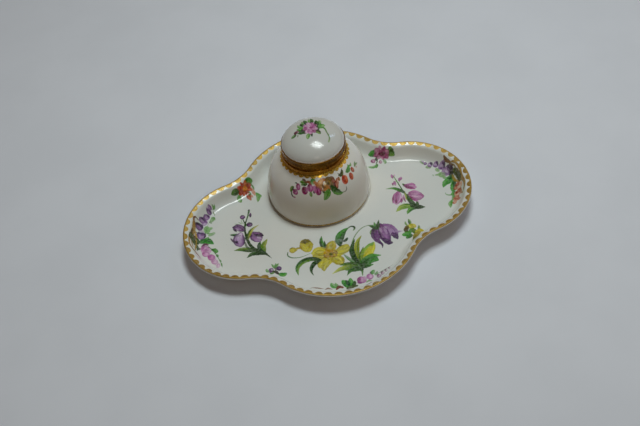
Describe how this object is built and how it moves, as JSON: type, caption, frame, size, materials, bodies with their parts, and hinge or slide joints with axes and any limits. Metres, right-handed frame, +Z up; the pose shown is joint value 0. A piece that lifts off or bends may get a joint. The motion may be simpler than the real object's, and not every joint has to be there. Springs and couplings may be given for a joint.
{
  "type": "inkwell",
  "caption": "Porcelain desk inkstand: a domed inkwell with a brass-mounted hinged lid and a lift-out liner, standing in a seat on a quatrefoil pen tray.",
  "frame": {"origin": "centre of the tray on the table plane, at the underside of the foot ring", "axes": "+X along the tray's long side, +Y from the front of the stand to the back, where the lid's hinge is, +Z up"},
  "size_m": [0.19, 0.1424, 0.0585],
  "materials": {
    "porcelain_tray": "white glaze with enamel flowers and a gilt scalloped rim",
    "porcelain_well": "white glaze with an enamel garland, gilt scallops under the collar and a gilt foot line",
    "porcelain_lid": "white glaze with an enamel rose spray",
    "porcelain_liner": "plain white glaze",
    "brass_mounts": "gilt brass, toned and lightly worn",
    "brass_pin": "drawn brass wire, peened ends",
    "plaster": "set plaster, matt"
  },
  "bodies": {
    "tray": {"tray": "porcelain_tray"},
    "well": {"well_body": "porcelain_well", "collar_ring": "brass_mounts", "collar_cement": "plaster", "collar_hinge_leaf": "brass_mounts", "hinge_pin": "brass_pin"},
    "lid": {"lid_bezel": "brass_mounts", "lid_cement": "plaster", "lid_dome": "porcelain_lid", "lid_hinge_leaf": "brass_mounts"},
    "liner": {"ink_liner": "porcelain_liner"}
  },
  "joints": [
    {"name": "well_lift", "type": "slide", "parent": "tray", "child": "well", "axis": [0, 0, 1], "range_m": [0, 0.04]},
    {"name": "lid_hinge", "type": "hinge", "parent": "well", "child": "lid", "pos_m": [0, 0.04735, 0.044], "axis": [-1, 0, 0], "range_deg": [0, 105]},
    {"name": "liner_lift", "type": "slide", "parent": "well", "child": "liner", "axis": [0, 0, 1], "range_m": [0, 0.005]}
  ]
}
